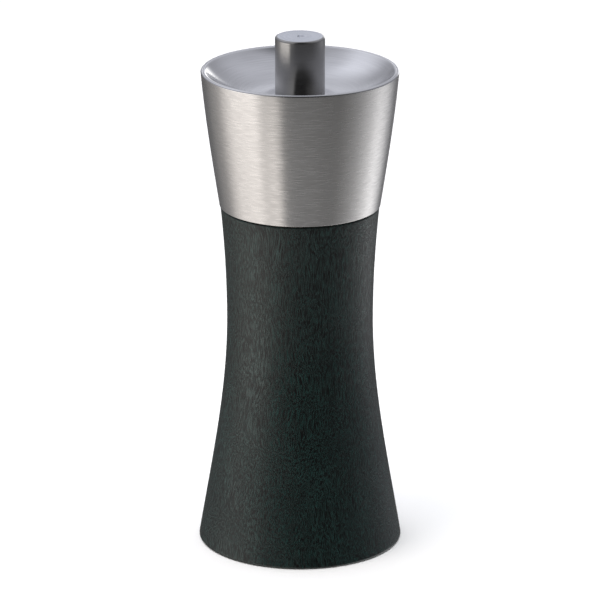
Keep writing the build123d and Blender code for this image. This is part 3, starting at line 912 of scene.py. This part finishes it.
@dataclass
class Head:
    """What the hand turns: steel shell and dish over a wooden core, with its plug and drive plate."""

    foot_radius: float = 27.6 * MM
    rim_radius: float = 33.8 * MM
    foot_slope: float = 0.155
    rim_slope: float = 0.085
    shell_wall: float = 0.8 * MM
    dish_wall: float = 0.7 * MM
    seam: float = 0.03 * MM
    seat_radius: float = 10.0 * MM
    dish_lip: float = 2.4 * MM
    rim_rounding: float = 0.55 * MM
    lip_rounding: float = 0.45 * MM
    seam_rounding: float = 0.2 * MM
    foot_rounding: float = 0.2 * MM
    o_ring_section: float = 0.9 * MM
    o_ring_sides: int = 20
    o_ring_steps: int = 128
    guide_clearance: float = 0.6 * MM
    finishes: dict[str, Finish] = field(
        default_factory=lambda: {
            "spindle_guide": TURNED_BRASS,
            "drive_plate": ZINC_PLATE,
            "drive_plate_screws": ZINC_PLATE,
            "head_core": PLAIN_BEECH,
        }
    )

    def build(self) -> None:
        """Builds and dresses the shell, the dish, the O-ring and the machined pieces."""
        self.shell()
        self.dish()
        self.o_ring()
        for node, finish in self.finishes.items():
            dress(node, finish)

    def shell(self) -> None:
        """Turns the brushed skin, and polishes its rim."""
        low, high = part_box("head_shell")
        foot = Station(self.foot_radius, low.z, self.foot_rounding)
        rim = Station(self.rim_radius, high.z, self.rim_rounding)
        inner_foot = Station(foot.radius - self.shell_wall, low.z)
        inner_rim = Station(rim.radius - self.shell_wall, high.z, self.seam_rounding)
        outside = flank(foot, self.foot_slope, rim, self.rim_slope, steps=32)
        inside = flank(inner_foot, self.foot_slope, inner_rim, self.rim_slope, steps=32)
        outline = [*outside, *reversed(inside)]
        made = turn("brushed_shell", outline, steps=FINE_TURN)
        seat_piece(made, Body.HEAD, BRUSHED_STAINLESS, "head_shell")
        made.data.materials.append(POLISHED_STAINLESS.material())
        for face in made.data.polygons:
            face.material_index = int(face.center.z > high.z - self.rim_rounding)

    def dish(self) -> None:
        """Turns the polished dish, with a hole in its seat for the spindle guide."""
        low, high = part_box("top_dish")
        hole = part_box("knob_insert")[1].x + self.guide_clearance
        seat_height = low.z + self.dish_wall
        edge = self.rim_radius - self.shell_wall - self.seam
        lip_foot = Station(edge - self.rim_slope * self.dish_lip, high.z - self.dish_lip)
        over = bowl(
            Station(self.seat_radius, seat_height),
            Station(edge - self.dish_wall, high.z, self.lip_rounding),
            steps=32,
        )
        under = bowl(Station(self.seat_radius, low.z), lip_foot)
        outline = [
            Station(hole, seat_height),
            *over,
            Station(edge, high.z, self.seam_rounding),
            *reversed(under),
            Station(hole, low.z),
        ]
        made = turn("polished_dish", outline, steps=FINE_TURN)
        seat_piece(made, Body.HEAD, POLISHED_STAINLESS, "top_dish")

    def o_ring(self) -> None:
        """Spins the plug's O-ring."""
        low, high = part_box("plug_o_ring")
        circle = high.x - self.o_ring_section
        mesh = bmesh.new()
        middle = Matrix.Translation((circle, 0, (low.z + high.z) / 2))
        ring = bmesh.ops.create_circle(
            mesh,
            segments=self.o_ring_sides,
            radius=self.o_ring_section,
            matrix=middle @ Matrix.Rotation(math.pi / 2, 4, "X"),
        )
        bmesh.ops.spin(
            mesh,
            geom=[*ring["verts"], *mesh.edges],
            cent=(0, 0, 0),
            axis=(0, 0, 1),
            angle=2 * math.pi,
            steps=self.o_ring_steps,
            use_merge=True,
        )
        seat_piece(finish_mesh(mesh, "rubber_o_ring"), Body.HEAD, NITRILE_RUBBER, "plug_o_ring")


@dataclass
class Knob:
    """The knob, its brass insert and its washer."""

    top_rounding: float = 0.8 * MM
    foot_rounding: float = 0.3 * MM
    seat_radius: float = 7.5 * MM
    seat_depth: float = 0.6 * MM
    insert_radius: float = 4.5 * MM
    bore_radius: float = 3.05 * MM
    bore_top_drop: float = 5.8 * MM
    peppercorn_radius: float = 0.62 * MM
    peppercorn_depth: float = 0.30 * MM
    peppercorn_circle: float = 0.85 * MM
    mark_reach: float = 2.2 * MM
    mark_steps: int = 26
    faced_depth: float = 0.45 * MM
    faced_inset: float = 0.72 * MM

    def build(self) -> None:
        """Builds the knob and dresses what is in it."""
        self.knob()
        dress("knob_insert", TURNED_BRASS)
        dress("knob_washer", WHITE_ACETAL)

    def knob(self) -> None:
        """Turns the knob, sinks three peppercorns into its top and faces its end."""
        low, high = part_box("adjusting_knob")
        insert_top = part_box("knob_insert")[1].z
        mark_rings = [
            Station(self.mark_reach * step / self.mark_steps, high.z) for step in range(self.mark_steps + 1)
        ]
        outline = [
            *mark_rings,
            Station(high.x, high.z, self.top_rounding),
            Station(high.x, low.z, self.foot_rounding),
            Station(self.seat_radius, low.z),
            Station(self.seat_radius, low.z + self.seat_depth),
            Station(self.insert_radius, low.z + self.seat_depth),
            Station(self.insert_radius, insert_top),
            Station(self.bore_radius, insert_top),
            Station(self.bore_radius, high.z - self.bore_top_drop),
            Station(0, high.z - self.bore_top_drop),
        ]
        made = turn("turned_knob", outline, closed=False, steps=SMALL_TURN)
        self.sink_mark(made.data, high.z)
        seat_piece(made, Body.KNOB, DARK_STAINLESS, "adjusting_knob")
        # The end's lighter, bluer colour is a painted highlight of the sky that the top faces.
        made.data.materials.append(FACED_STAINLESS_PAINTED_SKY.material())
        end_radius = high.x - self.faced_inset
        for face in made.data.polygons:
            on_end = face.center.z > high.z - self.faced_depth
            face.material_index = int(on_end and face.center.xy.length < end_radius)

    def sink_mark(self, data: bpy.types.Mesh, top: float) -> None:
        """Presses three round hollows into the top face.

        Args:
            data: The knob's mesh.
            top: The height of its top face.
        """
        centres = [
            Vector((math.cos(a), math.sin(a), 0)) * self.peppercorn_circle
            for a in (2 * math.pi * n / 3 for n in range(3))
        ]
        for vertex in data.vertices:
            if top - vertex.co.z > LEVEL_REACH:
                continue
            flat = Vector((vertex.co.x, vertex.co.y, 0))
            away = min((flat - centre).length for centre in centres)
            share = max(0.0, 1 - (away / self.peppercorn_radius) ** 2)
            vertex.co.z -= self.peppercorn_depth * share


# ---------------------------------------------------------------- studio


@dataclass(frozen=True)
class Softbox:
    """A flat lamp that faces the mill and shows in no reflection: where it stands, its size and its power."""

    name: str
    azimuth: float
    distance: float
    height: float
    side: float
    colour: str
    power: float

    def place(self, target: Vector) -> None:
        """Makes the lamp.

        Args:
            target: The point that it faces.
        """
        lamp = bpy.data.lights.new(self.name, "AREA")
        lamp.size = self.side
        lamp.color = linear(self.colour)[:3]
        lamp.energy = self.power
        holder = bpy.data.objects.new(self.name, lamp)
        holder.visible_glossy = False
        bearing = math.radians(self.azimuth)
        way = Vector((math.sin(bearing), -math.cos(bearing), 0))
        stand = way * self.distance + Vector((0, 0, self.height))
        holder.location = stand
        holder.rotation_euler = (target - stand).to_track_quat("-Z", "Y").to_euler()
        bpy.context.scene.collection.objects.link(holder)


@dataclass(frozen=True)
class Ring:
    """The surround at one elevation: (azimuth, brightness, colour) wherever the light changes."""

    elevation: float
    changes: tuple[tuple[float, float, str], ...]

    def stops(self, strength: float) -> list[tuple[float, tuple[float, float, float, float]]]:
        """The ring as a colour ramp.

        Args:
            strength: The brightness that the ramp's white stands for.

        Returns:
            Position and linear colour of each stop.
        """
        made = []
        for azimuth, brightness, colour in self.changes:
            red, green, blue, _ = linear(colour)
            share = brightness / strength
            made.append(((azimuth + 180) / 360, (red * share, green * share, blue * share, 1.0)))
        return made


@dataclass
class Studio:
    """A pale floor, soft lamps and the camera. Azimuths are from the camera's side, positive to its right."""

    floor_radius: float = 0.8
    floor_sides: int = 96
    floor_colour: str = "#f6f6f6"
    lamp_aim: Vector = field(default_factory=lambda: Vector((0, 0, 0.09)))
    camera_place: Vector = field(default_factory=lambda: Vector((0, -1.439, 0.558)))
    camera_pitch: float = 18.16
    lens: float = 263.3
    sensor_width: float = 36.0
    surround_strength: float = 2.4
    lamps: tuple[Softbox, ...] = (
        Softbox("overhead_softbox", 0, 0.0, 1.6, 1.6, WHITE, 29),
        Softbox("left_softbox", -60, 1.2, 0.9, 0.9, "#fff6ec", 6),
    )
    # A warm panel on the left, a cool one on the right and behind it, and a dark room in front, where the
    # camera stands. The dish looks up into the upper rings, and the sides look down into the lower ones.
    rings: tuple[Ring, ...] = (
        Ring(
            -36,
            (
                (-180, 0.25, WHITE),
                (-128, 0.25, WHITE),
                (-102, 0.75, WARM),
                (-72, 1.05, WARM),
                (-52, 1.12, WARM),
                (-42, 1.65, WARM),
                (-32, 1.60, WARM),
                (-21, 0.42, WHITE),
                (20, 0.37, WHITE),
                (52, 0.26, WHITE),
                (81, 0.52, WHITE),
                (103, 1.20, WHITE),
                (118, 2.40, WHITE),
                (132, 2.30, WHITE),
                (146, 1.20, WHITE),
                (157, 0.30, WHITE),
                (180, 0.25, WHITE),
            ),
        ),
        Ring(
            -12,
            (
                (-180, 0.10, WHITE),
                (-145, 0.15, WHITE),
                (-112, 0.60, WARM),
                (-88, 2.05, WARM),
                (-56, 2.40, WARM),
                (-42, 0.10, WHITE),
                (0, 0.04, WHITE),
                (60, 0.04, WHITE),
                (91, 0.22, COOL),
                (116, 0.40, COOL),
                (140, 0.28, COOL),
                (165, 0.10, WHITE),
                (180, 0.10, WHITE),
            ),
        ),
        Ring(
            2,
            (
                (-180, 0.35, COOL),
                (-160, 0.30, COOL),
                (-100, 0.45, COOL),
                (-40, 0.30, WHITE),
                (-22, 0.05, WHITE),
                (52, 0.10, WHITE),
                (92, 0.27, COOL),
                (148, 0.35, COOL),
                (157, 2.30, WHITE),
                (174, 2.30, WHITE),
                (180, 0.35, COOL),
            ),
        ),
        Ring(
            15,
            (
                (-180, 1.00, COOL),
                (-160, 0.50, COOL),
                (-100, 0.50, COOL),
                (-40, 0.30, WHITE),
                (-22, 0.06, WHITE),
                (20, 0.05, WHITE),
                (52, 0.15, WHITE),
                (92, 0.32, COOL),
                (150, 0.48, COOL),
                (168, 0.60, COOL),
                (176, 1.00, COOL),
                (180, 1.00, COOL),
            ),
        ),
        Ring(
            50,
            (
                (-180, 0.72, COOL),
                (-145, 1.25, COOL),
                (-115, 1.10, COOL),
                (-80, 0.75, COOL),
                (-36, 0.70, WHITE),
                (-26, 0.05, WHITE),
                (20, 0.03, WHITE),
                (60, 0.20, WHITE),
                (110, 0.62, COOL),
                (145, 0.80, COOL),
                (180, 0.72, COOL),
            ),
        ),
        Ring(
            68,
            (
                (-180, 0.80, COOL),
                (-120, 0.80, COOL),
                (-85, 0.60, COOL),
                (-36, 0.58, WHITE),
                (-26, 0.03, WHITE),
                (52, 0.05, WHITE),
                (80, 0.30, COOL),
                (110, 0.70, COOL),
                (180, 0.80, COOL),
            ),
        ),
        Ring(
            88,
            (
                (-180, 0.62, COOL),
                (-75, 0.55, COOL),
                (-36, 0.52, WHITE),
                (-26, 0.05, WHITE),
                (50, 0.08, WHITE),
                (90, 0.40, COOL),
                (130, 0.62, COOL),
                (180, 0.62, COOL),
            ),
        ),
    )

    def build(self) -> None:
        """Sets up the floor, the surround, the lamps and the camera."""
        self.floor()
        self.surround()
        for lamp in self.lamps:
            lamp.place(self.lamp_aim)
        self.camera()

    def floor(self) -> None:
        """Lays a round pale floor that metal doesn't mirror."""
        mesh = bmesh.new()
        bmesh.ops.create_circle(mesh, cap_ends=True, segments=self.floor_sides, radius=self.floor_radius)
        floor = finish_mesh(mesh, "studio_floor")
        paper = bpy.data.materials.new("studio_paper_matt")
        paper.use_nodes = True
        shader = paper.node_tree.nodes["Principled BSDF"]
        shader.inputs["Base Color"].default_value = linear(self.floor_colour)
        shader.inputs["Roughness"].default_value = 0.9
        shader.inputs["Specular IOR Level"].default_value = 0.1
        floor.data.materials.append(paper)
        floor.visible_glossy = False

    def surround(self) -> None:
        """Hangs the rings round the mill as the world's light. The camera itself sees plain white."""
        world = bpy.data.worlds.new("studio_surround")
        world.use_nodes = True
        tree = world.node_tree
        tree.nodes.clear()
        way = add_node(tree, "ShaderNodeTexCoord").outputs["Generated"]
        split = add_node(tree, "ShaderNodeSeparateXYZ", {"Vector": way})
        front = add_node(tree, "ShaderNodeMath", {0: split.outputs["Y"], 1: -1.0}, operation="MULTIPLY")
        bearing = add_node(
            tree, "ShaderNodeMath", {0: split.outputs["X"], 1: front.outputs[0]}, operation="ARCTAN2"
        )
        share = add_node(
            tree,
            "ShaderNodeMapRange",
            {"Value": bearing.outputs[0], "From Min": -math.pi, "From Max": math.pi},
        )
        glow, below = None, 0.0
        for ring in self.rings:
            band = add_node(tree, "ShaderNodeValToRGB", {"Fac": share.outputs["Result"]})
            set_ramp(band, ring.stops(self.surround_strength))
            height = math.sin(math.radians(ring.elevation))
            if glow is None:
                glow, below = band.outputs["Color"], height
                continue
            rise = add_node(
                tree,
                "ShaderNodeMapRange",
                {"Value": split.outputs["Z"], "From Min": below, "From Max": height},
                interpolation_type="SMOOTHSTEP",
            )
            step = add_node(
                tree,
                "ShaderNodeMix",
                {"Factor": rise.outputs["Result"], 6: glow, 7: band.outputs["Color"]},
                data_type="RGBA",
            )
            glow, below = step.outputs[2], height
        light = add_node(tree, "ShaderNodeBackground", {"Color": glow, "Strength": self.surround_strength})
        seen = add_node(tree, "ShaderNodeBackground", {"Color": linear(WHITE)})
        path = add_node(tree, "ShaderNodeLightPath")
        mix = add_node(
            tree,
            "ShaderNodeMixShader",
            {0: path.outputs["Is Camera Ray"], 1: light.outputs[0], 2: seen.outputs[0]},
        )
        add_node(tree, "ShaderNodeOutputWorld", {"Surface": mix.outputs[0]})
        bpy.context.scene.world = world

    def camera(self) -> None:
        """Places a long lens that looks down at the mill a little."""
        lens = bpy.data.cameras.new("studio_camera")
        lens.lens = self.lens
        lens.sensor_width = self.sensor_width
        camera = bpy.data.objects.new("studio_camera", lens)
        camera.location = self.camera_place
        camera.rotation_euler = (math.radians(90 - self.camera_pitch), 0, 0)
        bpy.context.scene.collection.objects.link(camera)
        bpy.context.scene.camera = camera
        bpy.context.scene.view_settings.view_transform = "Standard"


def main() -> None:
    """Builds the mill and its studio, in order."""
    logging.basicConfig(level=logging.INFO, format="%(message)s")
    for part in (Stand(), Grinder(), Head(), Knob(), Studio()):
        log.info("building %s", type(part).__name__)
        part.build()


if __name__ == "__main__":
    main()
